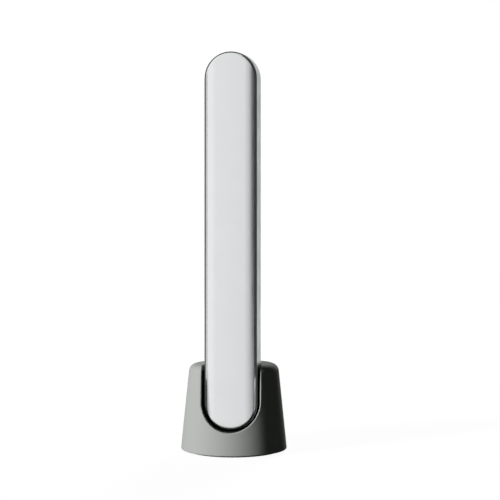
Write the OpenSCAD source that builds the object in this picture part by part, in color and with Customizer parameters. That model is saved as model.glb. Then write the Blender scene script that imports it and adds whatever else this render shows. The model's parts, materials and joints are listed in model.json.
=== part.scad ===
// Stick facial device standing in its round, tapered charging stand.
// The origin is the centre of the stand's underside, +Z is up, and the stick's front faces -Y.

/* [Stick outside] */
// Widest width of the stick, across the line where side frame and back shell meet
stick_w = 24.8; // [24.4:0.1:25.2]
// Height of the stick's lower end over the table
stick_rise = 9.7; // [9.4:0.1:10.4]
// Place of the widest line in front of the stand's axis
stick_forward = 6.8; // [6.4:0.1:7.2]
// Width of the border between the front panel and the stick's widest line
border_w = 2.2; // [2.1:0.05:2.3]
// Wall of the front panel
panel_t = 1.2; // [1:0.1:1.4]
// Height of the panel's crown over the ring that it sits on
panel_rise = 4.2; // [4:0.1:4.6]
// Radius of the panel's gentle crown
crown_r = 80; // [60:5:120]
// Radius of the soft edges along the panel's two sides
edge_r = 4.5; // [4:0.1:5]
// Radius of the panel's crisper edge round its two ends
brim_r = 2.4; // [1.6:0.1:2.8]
// Depth of the side frame, from its widest line to its front edge
frame_d = 7.8; // [7.6:0.1:8.2]
// Wall of the side frame
frame_t = 1.5; // [1.4:0.1:1.7]
// Thickness of the trim ring under the panel
ring_t = 0.6; // [0.5:0.1:0.8]
// Width of the trim ring's visible lip
lip_w = 0.95; // [0.85:0.05:1.05]
// Height of the trim ring's lip over the panel's seat
lip_h = 0.5; // [0.4:0.1:0.7]
// Depth of the back shell behind the widest line, which is also the radius of its sides
back_d = 7; // [6.8:0.1:7.2]
// Wall of the back shell
shell_t = 1.6; // [1.4:0.1:1.7]

/* [Head and buttons] */
// Width of the insulating island that carries the electrodes
head_w = 12.2; // [11.8:0.1:12.6]
// Length of the insulating island
head_len = 41.3; // [36:0.1:44]
// Distance from the stick's upper end to the island
head_top = 13.4; // [12.5:0.1:15]
// Height of the island over the back
head_h = 0.9; // [0.7:0.1:1.2]
// Width of each electrode
electrode_w = 4.4; // [4:0.1:4.6]
// Distance between the electrodes' centre lines
electrode_pitch = 6.2; // [5.8:0.1:6.6]
// Height of the electrodes over the island
electrode_h = 1.3; // [1:0.1:1.6]
// Diameter of each button
button_d = 8.8; // [8:0.1:9.2]
// Distance between the two buttons
button_pitch = 13; // [12:0.1:14]
// Height of the buttons over the back
button_h = 0.5; // [0.4:0.1:0.8]
// Travel of each button
button_travel = 0.4; // [0.3:0.05:0.5]
// Diameter of each indicator light
light_d = 1.6; // [1.2:0.1:1.8]
// Distance between the indicator lights
light_pitch = 2.9; // [2.6:0.1:3]

/* [Stick inside] */
// Thickness of the chassis plate
chassis_t = 1.6; // [1.4:0.1:1.8]
// Width of the ledge that carries the chassis
ledge_w = 1.1; // [0.9:0.1:1.3]
// Diameter of the battery cell
battery_d = 14; // [13.5:0.1:14.2]
// Length of the battery cell
battery_len = 50; // [46:0.5:51]
// Distance from the stick's lower end to the battery
battery_rise = 16.4; // [16.4:0.1:18]
// Thickness of the circuit boards
board_t = 1; // [0.8:0.1:1.2]
// Distance between the circuit board's edge and the stick's widest line
board_margin = 3.4; // [3.2:0.1:3.8]
// Diameter of the vibration motor
motor_d = 7; // [6:0.1:7.2]
// Length of the vibration motor's can
motor_len = 10; // [9:0.1:10.5]
// Diameter of the motor's shaft
motor_shaft_d = 1; // [0.8:0.1:1.2]
// Radius of the eccentric weight
weight_r = 3.2; // [2.6:0.1:3.4]

/* [Stand] */
// Diameter of the stand at the table
stand_d = 47; // [46:0.5:52]
// Height of the stand
stand_h = 38.3; // [37:0.1:42]
// Lean of the stand's side
stand_lean = 5.8; // [4.5:0.1:6]
// Radius of the stand's upper edge
rim_r = 3.6; // [2.5:0.1:4]
// Radius of the rounded lip round notch and socket
lip_round = 0.35; // [0.25:0.05:0.6]
// Wall of the stand's shell
stand_t = 2; // [1.8:0.1:2.3]
// Thickness of the stand's top
top_t = 2.5; // [2:0.1:3]
// Height of the notch's lowest point over the table
notch_floor = 10.4; // [10.2:0.1:10.5]
// Clearance between the stick and the cradle
cradle_fit = 0.3; // [0.25:0.05:0.5]
// Wall of the cradle
cradle_t = 1.2; // [1:0.1:1.4]

/* [Stand inside] */
// Thickness of the base plate
base_t = 1.8; // [1.6:0.1:2]
// Thickness of the rubber foot ring
foot_t = 1.4; // [1.2:0.1:1.6]
// Height of the stand shell's lower edge over the table
skirt_gap = 0.7; // [0.5:0.1:0.9]
// Travel of the charge pins
pin_travel = 0.5; // [0.4:0.05:0.6]
// Diameter of the charge pins
pin_d = 1.6; // [1.4:0.1:1.8]
// Distance between the charge pins
pin_pitch = 8; // [7.6:0.1:8.6]
// Height of the ballast block
ballast_h = 20; // [16:0.5:20.5]

/* [Hidden] */
$fn = 48;

// Fits
slide_fit = 0.05;
loose_fit = 0.1;
sink = 0.5;

// The stick's frame: v counts towards the front from the widest line
stick_y = -stick_forward;
low_z = stick_rise + stick_w / 2;
panel_w = stick_w - 2 * border_w;
lip_gap = 0.12;
frame_front_w = panel_w + 2 * (lip_gap + lip_w + 0.08);
back_flat = stick_w / 2 - back_d;

// The stick's length, counted up from the battery over board, buttons, lights and head
battery_low = stick_rise + battery_rise;
battery_high = battery_low + battery_len;
board_low = battery_high + 6;
power_z = board_low + 6;
level_z = power_z + button_pitch;
lights_z = level_z + 8.5;
head_r = head_w / 2;
head_low = lights_z + 2 * light_pitch + 4.9 + head_r;
head_high = head_low + head_len - head_w;
top_z = head_high + head_r + head_top;
high_z = top_z - stick_w / 2;

// Heights of panel and shells over the widest line
seat_v = frame_d + ring_t;
apex_v = seat_v + panel_rise;
inner_v = shell_t - back_d;

// The panel's soft edge meets its wall at this turn
edge_turn = 73;
edge_u = panel_w / 2 - edge_r * sin(edge_turn);
crown_turn = asin(edge_u / (crown_r - edge_r));
edge_v = apex_v - crown_r + (crown_r - edge_r) * cos(crown_turn);
brim_over = 0.3;

// The trim ring's inner edge and the frame's front ledge
ring_in = panel_w / 2 - panel_t - 0.2;
front_ledge_t = 1.2;
front_ledge_in = ring_in - 0.2;
hook_t = 0.8;
hook_w = 5;
hook_catch = 0.5;
hook_u = front_ledge_in - loose_fit;

// The chassis and what it carries
ledge_v = 1.8;
ledge_t = 1.2;
chassis_v = ledge_v + ledge_t;
chassis_r = frame_out(chassis_v + chassis_t) - frame_t - loose_fit;
tongue_h = 1.5;
tongue_t = 0.7;
battery_v = battery_d / 2 - 4.8;
board_v = -0.6;
board_back = board_v - board_t;
board_high = top_z - 26.6;
board_w = stick_w - 2 * board_margin;
boss_r = 1.7;
boss_u = stick_w / 2 - 3.9;
end_boss_r = stick_w / 2 - 4.4;
end_boss_turn = 39;
case_pilot_r = 0.7;
case_shank_r = 0.8;
case_bosses = [
    [end_boss_r * cos(end_boss_turn), low_z - end_boss_r * sin(end_boss_turn)],
    [boss_u, battery_high + 3],
    [boss_u, top_z - 23.6]
];
post_r = 1.6;
board_pilot_r = 0.6;
board_post_u = board_w / 2 - 2;
board_posts = [[board_post_u, board_low + 3], [board_post_u, board_high - 3]];

// Buttons and switches
button_flange_t = 0.6;
button_gap = 0.05;
switch_w = 6;
switch_h = 2;
stem_r = 1.5;
stem_h = 0.7;
switch_top = board_back - switch_h;
stem_top = switch_top - stem_h;
plunger_r = 1.2;

// Head: the island and the electrodes on it
head_v = -back_d - head_h;
head_flange_v = -(back_d - shell_t) + 0.35;
head_flange_t = 0.85;
pocket = 0.9;
stud_r = 1;
stud_end = board_back - 1.6;
stud_z = [head_low + 4, head_low + 19];

// The motor sits in its own window near the upper end
motor_v = 3.8;
motor_low = top_z - 20.6;
motor_high = motor_low + motor_len;
mount_wall = 1.3;
mount_low = motor_low - 0.5;
mount_high = motor_high - 2;
weight_t = 3.2;
weight_low = motor_high + 1;
shaft_end = weight_low + weight_t + 0.4;

// Charge contacts in the stick's lower end, and the pins that meet them
contact_v = -3.2;
contact_y = stick_y - contact_v;
contact_r = 1.5;
contact_low = stick_rise + 2.1;
contact_high = contact_low + 1;
contact_stem_r = 0.7;
shelf_top = contact_high + 1.5;
contact_end = shelf_top + 1;
lead_t = 0.2;

// The stand
skirt_z = skirt_gap;
function stand_r(z) = stand_d / 2 - z * tan(stand_lean);
wall_in = stand_t / cos(stand_lean);
rim_z = stand_h - rim_r;
rim_x = stand_r(rim_z) - rim_r / cos(stand_lean);
ceiling_z = stand_h - top_t;
plate_z = 1;
plate_top = plate_z + base_t;
plate_r = stand_r(skirt_z) - wall_in - 0.25;

// The cradle: its half width, its lower end's centre, its back and its front sill
cradle_r = stick_w / 2 + cradle_fit;
cradle_back_r = back_d + cradle_fit;
cradle_low = low_z;
cradle_top = ceiling_z - 0.1;
sill_y = stick_y - seat_v - 1.2;
notch_r = cradle_r;
notch_z = notch_floor + notch_r;

// Screw places in the stand
foot_out = plate_r - 0.6;
foot_in = foot_out - 5;
shell_post_ring = plate_r - 3.3;
shell_posts = [for (turn = [-90, 30, 150]) shell_post_ring * [cos(turn), sin(turn)]];
cradle_post_ring = foot_in - 2.9;
cradle_posts = [for (turn = [-63, -117]) cradle_post_ring * [cos(turn), sin(turn)]];
post_big_r = 2.5;
base_pilot_r = 1;
base_screw_len = 5.5;
ballast_y = stick_y + cradle_back_r + cradle_t + 1;
ballast_top = ceiling_z - 2.8;
ballast_low = ballast_top - ballast_h;
ballast_r = stand_r(ballast_top) - wall_in - 1.5;
ballast_holes = [8, -8];
ballast_hole_y = ballast_y + 4.2;

// The dock's board, block and pins
dock_z = plate_top + 1;
dock_top = dock_z + board_t;
block_w = pin_pitch + 6;
block_d = 4.4;
pin_r = pin_d / 2;
pin_top = contact_low - slide_fit;
pin_flange_r = pin_r + 0.3;
pin_flange_t = 0.6;
pin_well_r = pin_flange_r + loose_fit;
spring_wire_r = 0.12;
spring_r = pin_r - spring_wire_r;
spring_turns = 4;
spring_solid = 2 * spring_wire_r * (spring_turns + 1);
pin_flange_z = dock_top + spring_solid + pin_travel + 1;
pin_neck_z = pin_flange_z + pin_flange_t + loose_fit;

// The charge inlet: the outside of its metal sleeve
inlet_w = 8.94;
inlet_h = 3.26;
inlet_len = 7.3;
inlet_t = 0.3;
inlet_z = dock_top + inlet_h / 2;
inlet_y = stand_r(inlet_z) - 2;

// Slice of a disc about [x, y] between two turns, counted from the x axis
module sector(x, y, r, from, to) {
    translate([x, y])
        intersection() {
            circle(r, $fn = 96);
            polygon(concat(
                [[0, 0]],
                [for (a = [from, (from + to) / 2, to]) 2 * r * [cos(a), sin(a)]]
            ));
        }
}

// Half section of a bar with its base on the axis and one rounded edge
module bar_section(half, h, edge) {
    sector(half - edge, h - edge, edge, 0, 90);
    polygon([
        [0, 0],
        [half, 0],
        [half, h - edge],
        [half - edge, h - edge],
        [half - edge, h],
        [0, h]
    ]);
}

// Half width of the side frame's outside at the height v
function frame_out(v) = (stick_w - (stick_w - frame_front_w) * v / frame_d) / 2;

// Sweeps a section round the stick's long outline. The section is drawn to the right of the
// outline's centre line, with the front upwards.
module round_outline(low, high) {
    translate([0, stick_y, high])
        rotate([90, 0, 0])
            rotate_extrude(angle = 180)
                children();
    translate([0, stick_y, low])
        rotate([90, 180, 0])
            rotate_extrude(angle = 180)
                children();
    for (side = [0, 1])
        mirror([side, 0, 0])
            translate([0, stick_y, low])
                mirror([0, 1, 0])
                    linear_extrude(high - low)
                        children();
}

// Plate parallel to the stick's front, between two heights v
module slab(back, front) {
    translate([0, stick_y - back, 0])
        rotate([90, 0, 0])
            linear_extrude(front - back)
                children();
}

// Round peg pointing to the front, between two heights v
module peg(x, z, r, back, front) {
    translate([x, stick_y - back, z])
        rotate([90, 0, 0])
            cylinder(r = r, h = front - back);
}

// Flat outline with round ends, drawn upright
module pill(r, low, high) {
    translate([-r, low])
        square([2 * r, high - low]);
    for (z = [low, high])
        translate([0, z])
            circle(r);
}

// Rectangle centred across the stick, between two heights
module panel_rect(w, low, high) {
    translate([-w / 2, low])
        square([w, high - low]);
}

// The panel's outer section, or the same moved inwards by a wall
module crown_section(inset, bottom) {
    r = edge_r - inset;
    sector(edge_u, edge_v, r, 90 - edge_turn, 90 - crown_turn);
    polygon([
        [0, bottom],
        [panel_w / 2 - inset, bottom],
        [edge_u + r * sin(edge_turn), edge_v + r * cos(edge_turn)],
        [edge_u, edge_v],
        [0, edge_v]
    ]);
    intersection() {
        translate([0, apex_v - crown_r])
            circle(crown_r - inset, $fn = 720);
        translate([0, edge_v])
            square([edge_u + r * sin(crown_turn), 2 * edge_r]);
    }
}

// Wall of the panel: an arch from end to end, cut by the round outline with its crisper edge
module panel_wall() {
    intersection() {
        round_outline(low_z, high_z)
            difference() {
                translate([0, seat_v])
                    bar_section(panel_w / 2, panel_rise + brim_over, brim_r);
                crown_section(panel_t, seat_v - 1);
            }
        translate([0, stick_y, low_z - panel_w / 2 - sink])
            mirror([0, 1, 0])
                linear_extrude(high_z - low_z + panel_w + 2 * sink)
                    for (side = [0, 1])
                        mirror([side, 0])
                            crown_section(-slide_fit, seat_v - sink);
    }
}

// Long satin panel that covers the whole front, with six hooks behind its edge
module front_panel() color("gainsboro") {
    panel_wall();
    hook_low = frame_d - front_ledge_t - loose_fit - hook_t;
    hook_high = edge_v + (edge_r - panel_t) * 0.75;
    for (side = [0, 1], z = [low_z + 24, (low_z + high_z) / 2, high_z - 24])
        mirror([side, 0, 0])
            translate([0, stick_y, z - hook_w / 2])
                mirror([0, 1, 0])
                    linear_extrude(hook_w)
                        polygon([
                            [hook_u - hook_t, hook_low],
                            [hook_u + hook_catch, hook_low + hook_t - 0.1],
                            [hook_u + hook_catch, hook_low + hook_t],
                            [hook_u, hook_low + hook_t],
                            [hook_u, hook_high],
                            [hook_u - hook_t, hook_high]
                        ]);
}

// Dark ring between panel and side frame, with a rounded lip round the panel
module trim_ring() color("darkslategray") {
    lip_in = panel_w / 2 + lip_gap;
    lip_out = lip_in + lip_w;
    lip_top = seat_v + lip_h;
    outer = lip_w * 0.45;
    inner = lip_w * 0.25;
    round_outline(low_z, high_z) {
        sector(lip_out - outer, lip_top - outer, outer, 0, 90);
        sector(lip_in + inner, lip_top - inner, inner, 90, 180);
        polygon([
            [ring_in, frame_d],
            [lip_out, frame_d],
            [lip_out, lip_top - outer],
            [lip_out - outer, lip_top - outer],
            [lip_out - outer, lip_top],
            [lip_in + inner, lip_top],
            [lip_in + inner, lip_top - inner],
            [lip_in, lip_top - inner],
            [lip_in, seat_v],
            [ring_in, seat_v]
        ]);
    }
}

// Grey metal side frame, flaring from the trim ring to the widest line
module side_frame() color("darkgray") {
    seal_in = stick_w / 2 - frame_t + 0.35;
    seal_out = stick_w / 2 - 0.4;
    difference() {
        frame_section_swept(seal_in, seal_out);
        for (side = [-1, 1], b = case_bosses)
            peg(side * b[0], b[1], boss_r + loose_fit, ledge_v - 0.5, chassis_v + 0.2);
    }
}

module frame_section_swept(seal_in, seal_out) {
    round_outline(low_z, high_z)
        polygon([
            [frame_out(0), 0],
            [frame_out(frame_d), frame_d],
            [front_ledge_in, frame_d],
            [front_ledge_in, frame_d - front_ledge_t],
            [frame_out(frame_d - front_ledge_t) - frame_t, frame_d - front_ledge_t],
            [frame_out(chassis_v) - frame_t, chassis_v],
            [chassis_r - ledge_w + 0.35, chassis_v],
            [chassis_r - ledge_w + 0.35, ledge_v],
            [frame_out(ledge_v) - frame_t, ledge_v],
            [frame_out(0) - frame_t, 0],
            [seal_in, 0],
            [seal_in, 0.7],
            [seal_out, 0.7],
            [seal_out, 0]
        ]);
}

// Soft ring in the groove between side frame and back shell
module case_seal() color("dimgray") {
    seal_in = stick_w / 2 - frame_t + 0.35;
    seal_out = stick_w / 2 - 0.4;
    round_outline(low_z, high_z)
        translate([seal_in + slide_fit, 0])
            square([seal_out - seal_in - 2 * slide_fit, 0.65]);
}

// Half section of the space behind the widest line, or the same moved inwards
module back_shape(inset) {
    sector(back_flat, 0, back_d - inset, -90, 0);
    translate([0, inset - back_d])
        square([back_flat, back_d - inset]);
}

// Section of the back shell's wall, with the tongue that enters the side frame
module back_section() {
    difference() {
        back_shape(0);
        back_shape(shell_t);
    }
    tongue_out = frame_out(tongue_h) - frame_t - 0.2;
    tongue_low = -3;
    translate([tongue_out - tongue_t, tongue_low])
        square([tongue_t, tongue_h - tongue_low]);
}

// Rounded back of the stick, with bosses for the case screws and openings for head and buttons
module back_shell() color("darkgray") {
    difference() {
        union() {
            round_outline(low_z, high_z)
                back_section();
            for (side = [-1, 1], b = case_bosses)
                peg(side * b[0], b[1], boss_r, inner_v + 0.3, chassis_v);
            contact_shelf();
        }
        for (side = [-1, 1], b = case_bosses)
            peg(side * b[0], b[1], case_pilot_r, inner_v + 2.2, chassis_v + 1);
        slab(-back_d - 1, head_flange_v)
            pill(head_r + slide_fit, head_low, head_high);
        slab(head_flange_v - 0.4, board_v)
            pill(head_r + 1 + slide_fit, head_low, head_high);
        for (z = [power_z, level_z])
            peg(0, z, button_d / 2 + loose_fit, -back_d - 1, 0);
        for (i = [0:2])
            peg(0, lights_z + i * light_pitch, light_d / 2 + slide_fit, -back_d - 1, 0);
        for (side = [-1, 1])
            translate([side * pin_pitch / 2, contact_y, stick_rise - 1]) {
                cylinder(r = contact_r + slide_fit, h = contact_high - stick_rise + 1);
                cylinder(r = contact_stem_r + slide_fit, h = low_z - stick_rise);
            }
    }
}

// Thickening of the back shell's lower end round the charge contacts
module contact_shelf() {
    half = pin_pitch / 2 + contact_r + 0.8;
    intersection() {
        slab(inner_v + 0.2, contact_v + contact_r + 1)
            translate([-half, stick_rise])
                square([2 * half, shelf_top - stick_rise]);
        back_solid(0.5);
    }
}

// The whole space behind the widest line, drawn in from the outside by an inset
module back_solid(inset) {
    round_outline(low_z, high_z)
        back_shape(inset);
}

// Black island that carries and insulates the electrodes
module head_insulator() color("black") {
    difference() {
        union() {
            raised_bar(head_r, head_flange_v + 0.2, head_v, 0.4);
            slab(head_flange_v, head_flange_v + head_flange_t)
                pill(head_r + 1, head_low, head_high);
        }
        for (side = [-1, 1])
            translate([side * electrode_pitch / 2, 0, 0]) {
                slab(head_v - 1, head_v + pocket)
                    pill(electrode_w / 2 + slide_fit, head_low, head_high);
                for (z = stud_z)
                    peg(0, z, stud_r + slide_fit, head_v, 0);
            }
    }
}

// Bar with round ends and a rounded edge, standing up towards the back between two heights
module raised_bar(r, front, back, edge) {
    translate([0, 2 * stick_y - front, 0])
        mirror([0, 1, 0])
            round_outline(head_low, head_high)
                bar_section(r, front - back, edge);
}

// Polished electrode bar with a domed face and two studs
module electrode() {
    raised_bar(electrode_w / 2, head_v + pocket, head_v - electrode_h, electrode_h * 0.8);
    for (z = stud_z)
        peg(0, z, stud_r, head_v + pocket - sink, stud_end);
}

module electrode_left() color("silver")
    translate([-electrode_pitch / 2, 0, 0])
        electrode();

module electrode_right() color("silver")
    translate([electrode_pitch / 2, 0, 0])
        electrode();

// Sprung contacts between the circuit board and the electrodes' studs
module electrode_contacts() color("gold") {
    for (side = [-1, 1], z = stud_z) {
        peg(side * electrode_pitch / 2, z, 1.5, board_back - 0.5, board_back);
        peg(side * electrode_pitch / 2, z, 0.8, stud_end, board_back - 0.5);
    }
}

// Round button cap with a rounded edge, a shallow dish, a flange behind the shell and a plunger
module button(z) {
    flange_v = inner_v + button_gap;
    dish_r = 18;
    dish_depth = 0.25;
    difference() {
        union() {
            translate([0, stick_y - flange_v - sink, z])
                rotate([-90, 0, 0])
                    rotate_extrude()
                        bar_section(button_d / 2, back_d + button_h + flange_v + sink, 0.35);
            peg(0, z, button_d / 2 + 0.7, flange_v, flange_v + button_flange_t);
            peg(0, z, plunger_r, flange_v, stem_top);
        }
        translate([0, stick_y + back_d + button_h + dish_r - dish_depth, z])
            sphere(r = dish_r, $fn = 96);
    }
}

module power_button() color("darkgray")
    button(power_z);

module level_button() color("darkgray")
    button(level_z);

// Switch housing with a well for its stem
module switch_housing(z) {
    difference() {
        slab(switch_top, board_back)
            panel_rect(switch_w, z - switch_w / 2, z + switch_w / 2);
        peg(0, z, stem_r + slide_fit, switch_top - 1, board_back - 0.4);
    }
}

module power_switch() color("dimgray")
    switch_housing(power_z);

module level_switch() color("dimgray")
    switch_housing(level_z);

module power_stem() color("tan")
    peg(0, power_z, stem_r, stem_top, board_back - 0.5 - button_travel);

module level_stem() color("tan")
    peg(0, level_z, stem_r, stem_top, board_back - 0.5 - button_travel);

// Three clear indicator pins on one bar behind the shell
module light_guide() color("white") {
    for (i = [0:2])
        peg(0, lights_z + i * light_pitch, light_d / 2, -back_d, board_back - 0.6);
    slab(inner_v, inner_v + 0.8)
        panel_rect(3, lights_z - 1.6, lights_z + 2 * light_pitch + 1.6);
}

// Plate that carries battery, board and motor, with windows for the two round ones
module chassis() color("slategray") {
    difference() {
        union() {
            slab(chassis_v, chassis_v + chassis_t)
                pill(chassis_r, low_z, high_z);
            for (side = [-1, 1], p = board_posts)
                peg(side * p[0], p[1], post_r, board_v, chassis_v + sink);
        }
        slab(chassis_v - 1, chassis_v + chassis_t + 1) {
            panel_rect(battery_d + 0.4, battery_low - 1, battery_high + 1);
            panel_rect(motor_d + 2 * mount_wall + 0.2, mount_low - 0.1, shaft_end + 0.6);
            for (z = [board_low + 12, board_low + 28, board_low + 44])
                panel_rect(9, z - 6, z + 4);
        }
        for (side = [-1, 1], b = case_bosses)
            peg(side * b[0], b[1], case_shank_r + loose_fit, chassis_v - 1, chassis_v + 5);
        for (side = [-1, 1], p = board_posts)
            peg(side * p[0], p[1], board_pilot_r, board_v - 1, chassis_v + 0.6);
    }
}

module circuit_board() color("green") {
    difference() {
        slab(board_back, board_v)
            panel_rect(board_w, board_low, board_high);
        for (side = [-1, 1], p = board_posts)
            peg(side * p[0], p[1], board_pilot_r + 0.25, board_back - 1, board_v + 1);
    }
}

// Chips and coils on the board's front, and the three lamps on its back
module board_chips() color("black") {
    slab(board_v, board_v + 1)
        panel_rect(7, board_low + 10, board_low + 17);
    slab(board_v, board_v + 1.2)
        translate([-4, 0])
            panel_rect(5, board_low + 24, board_low + 30);
    slab(board_v, board_v + 0.9)
        translate([4, 0])
            panel_rect(4, board_low + 25, board_low + 29);
    for (x = [-4, 4])
        peg(x, board_low + 38, 2.6, board_v, board_v + 2.2);
    for (i = [0:2])
        slab(board_back - 0.55, board_back)
            panel_rect(1.6, lights_z + i * light_pitch - 0.4, lights_z + i * light_pitch + 0.4);
}

module board_screws() color("silver") {
    for (side = [-1, 1], p = board_posts) {
        peg(side * p[0], p[1], 1.3, board_back - 0.8, board_back);
        peg(side * p[0], p[1], board_pilot_r - 0.02, board_back - 0.1, board_v + 3);
    }
}

module case_screws() color("silver") {
    head_v0 = chassis_v + chassis_t;
    for (side = [-1, 1], b = case_bosses) {
        peg(side * b[0], b[1], 1.5, head_v0, head_v0 + 1);
        peg(side * b[0], b[1], case_pilot_r - 0.02, chassis_v - 4, head_v0 + 0.1);
    }
}

// Round cell with its raised button at the upper end
module battery_cell() color("steelblue") {
    translate([0, stick_y - battery_v, battery_low])
        cylinder(d = battery_d, h = battery_len - 1);
    translate([0, stick_y - battery_v, battery_low])
        cylinder(d = 5, h = battery_len);
}

module battery_pad() color("dimgray")
    slab(inner_v, battery_v - battery_d / 2)
        panel_rect(5, battery_low + 6, battery_high - 6);

// Metal strips on the cell's ends
module battery_tabs() color("silver") {
    translate([-2, stick_y - battery_v - 4.5, battery_high])
        cube([4, 9, 0.4]);
    translate([-2, stick_y - battery_v - 4.5, battery_low - 0.4])
        cube([4, 9, 0.4]);
}

module motor_can() color("silver")
    translate([0, stick_y - motor_v, motor_low])
        difference() {
            cylinder(d = motor_d, h = motor_len);
            translate([0, 0, 1])
                cylinder(d = motor_shaft_d + 2 * slide_fit, h = motor_len);
        }

// Rubber block that holds the motor in the chassis
module motor_mount() color("dimgray") {
    half = motor_d / 2 + mount_wall;
    difference() {
        slab(motor_v - half, motor_v + half)
            panel_rect(2 * half, mount_low, mount_high);
        translate([0, stick_y - motor_v, motor_low])
            cylinder(d = motor_d + 0.04, h = motor_len);
        for (side = [-1, 1])
            translate([side * (half + 0.5), stick_y - chassis_v - chassis_t / 2, mount_low - 1])
                translate([-0.5, -chassis_t / 2 - 0.05, 0])
                    cube([0.4, chassis_t + 0.1, mount_high - mount_low + 2]);
    }
}

// Shaft with its half-round weight
module motor_weight() color("goldenrod")
    translate([0, stick_y - motor_v, 0]) {
        translate([0, 0, motor_low + 1.2])
            cylinder(d = motor_shaft_d, h = shaft_end - motor_low - 1.2);
        translate([0, 0, weight_low])
            rotate([0, 0, 180])
                rotate_extrude(angle = 180)
                    square([weight_r, weight_t]);
        translate([0, 0, weight_low])
            cylinder(d = motor_shaft_d + 1, h = weight_t);
    }

// Two plated contacts with stems, let into the stick's lower end and cut to its rounding
module charge_contacts() color("gold") {
    intersection() {
        for (side = [-1, 1])
            translate([side * pin_pitch / 2, contact_y, contact_low])
                cylinder(r = contact_r, h = contact_high - contact_low);
        back_solid(0);
    }
    for (side = [-1, 1])
        translate([side * pin_pitch / 2, contact_y, 0]) {
            translate([0, 0, contact_low])
                cylinder(r = contact_stem_r, h = contact_end - contact_low);
        }
}

// Flat leads from the charge contacts up the back shell to the circuit board
module charge_leads() color("orange") {
    foot_v = contact_v + 0.8;
    path = [
        [foot_v, contact_end],
        [contact_v - 0.9, contact_end],
        [inner_v + 0.55, contact_end + 3.6],
        [inner_v + 0.05, low_z + 1],
        [inner_v + 0.05, board_low - 2],
        [board_back - lead_t, board_low + 0.2],
        [board_back - lead_t, board_low + 2.5]
    ];
    back = [for (i = [len(path) - 1:-1:0]) [path[i][0] + lead_t, path[i][1] + (i < 2 ? lead_t : 0)]];
    for (side = [0, 1])
        mirror([side, 0, 0])
            translate([2.6, stick_y, 0])
                rotate([0, -90, 180])
                    linear_extrude(1.7)
                        polygon([for (p = concat(path, back)) [p[1], p[0]]]);
}

// Outline of the stand's side with its rounded upper edge
module stand_outer() {
    foot = 0.5;
    foot_z = skirt_z + foot;
    foot_x = stand_r(foot_z) - foot / cos(stand_lean);
    rotate_extrude($fn = 180) {
        sector(foot_x, foot_z, foot, -90, stand_lean);
        sector(rim_x, rim_z, rim_r, stand_lean, 90);
        polygon([
            [0, skirt_z],
            [foot_x, skirt_z],
            [foot_x, foot_z],
            [foot_x + foot * cos(stand_lean), foot_z + foot * sin(stand_lean)],
            [rim_x + rim_r * cos(stand_lean), rim_z + rim_r * sin(stand_lean)],
            [rim_x, rim_z],
            [rim_x, stand_h],
            [0, stand_h]
        ]);
    }
}

// Space inside the stand's wall, or the same drawn in by a clearance
module stand_hollow(clear = 0) {
    side = wall_in + clear;
    rotate_extrude($fn = 180)
        polygon([
            [0, 0],
            [stand_r(0) - side, 0],
            [stand_r(ceiling_z) - side, ceiling_z - clear],
            [0, ceiling_z - clear]
        ]);
}

// Half section of the space that the stick's lower end needs, with room all round
module socket_section(grow) {
    translate([0, 0])
        square([cradle_r + grow, 24]);
    intersection() {
        translate([back_flat, 0])
            circle(cradle_back_r + grow, $fn = 96);
        translate([0, -cradle_back_r - grow - 1])
            square([cradle_r + grow, cradle_back_r + grow + 1]);
    }
    translate([0, -cradle_back_r - grow])
        square([back_flat, cradle_back_r + grow]);
}

// The socket: a rounded bottom and straight sides up to a given height
module socket(grow, top) {
    translate([0, stick_y, cradle_low])
        rotate([90, 180, 0])
            rotate_extrude(angle = 180, $fn = 96)
                socket_section(grow);
    for (side = [0, 1])
        mirror([side, 0, 0])
            translate([0, stick_y, cradle_low])
                mirror([0, 1, 0])
                    linear_extrude(top - cradle_low)
                        socket_section(grow);
}

// The U-shaped notch, open at the top and to the front
module notch() {
    translate([0, stick_y, 0])
        rotate([90, 0, 0])
            linear_extrude(40) {
                translate([0, notch_z])
                    circle(notch_r, $fn = 96);
                translate([-notch_r, notch_z])
                    square([2 * notch_r, stand_h]);
            }
}

// Point on the stand's side at a given x, radius and height, and the direction outwards there
function on_stand(x, r, z) = [x, -sqrt(r * r - x * x), z];
function off_stand(x, r, turn) = [x * cos(turn) / r, -sqrt(r * r - x * x) * cos(turn) / r, sin(turn)];

// The mouth's right half, from the notch's lowest point over the rim to the socket's back corner.
// Each station holds its edge point, the direction off the stand and the direction into the open.
mouth_half = concat(
    [for (a = [-90:7.5:-7.5])
        let (x = notch_r * cos(a), z = notch_z + notch_r * sin(a), r = stand_r(z))
            [on_stand(x, r, z), off_stand(x, r, stand_lean), [-cos(a), 0, -sin(a)]]],
    [on_side(notch_z)],
    [for (i = [0:6])
        let (turn = stand_lean + (90 - stand_lean) * i / 6, r = rim_x + rim_r * cos(turn))
            [on_stand(notch_r, r, rim_z + rim_r * sin(turn)), off_stand(notch_r, r, turn), [-1, 0, 0]]],
    [for (b = [0:10:90])
        [
            [back_flat + cradle_back_r * cos(b), stick_y + cradle_back_r * sin(b), stand_h],
            [0, 0, 1],
            [-cos(b), -sin(b), 0]
        ]]
);
function on_side(z) =
    let (r = stand_r(z))
        [on_stand(notch_r, r, z), off_stand(notch_r, r, stand_lean), [-1, 0, 0]];
mouth = concat(
    mouth_half,
    [for (i = [len(mouth_half) - 1:-1:1]) [for (v = mouth_half[i]) [-v[0], v[1], v[2]]]]
);

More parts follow.
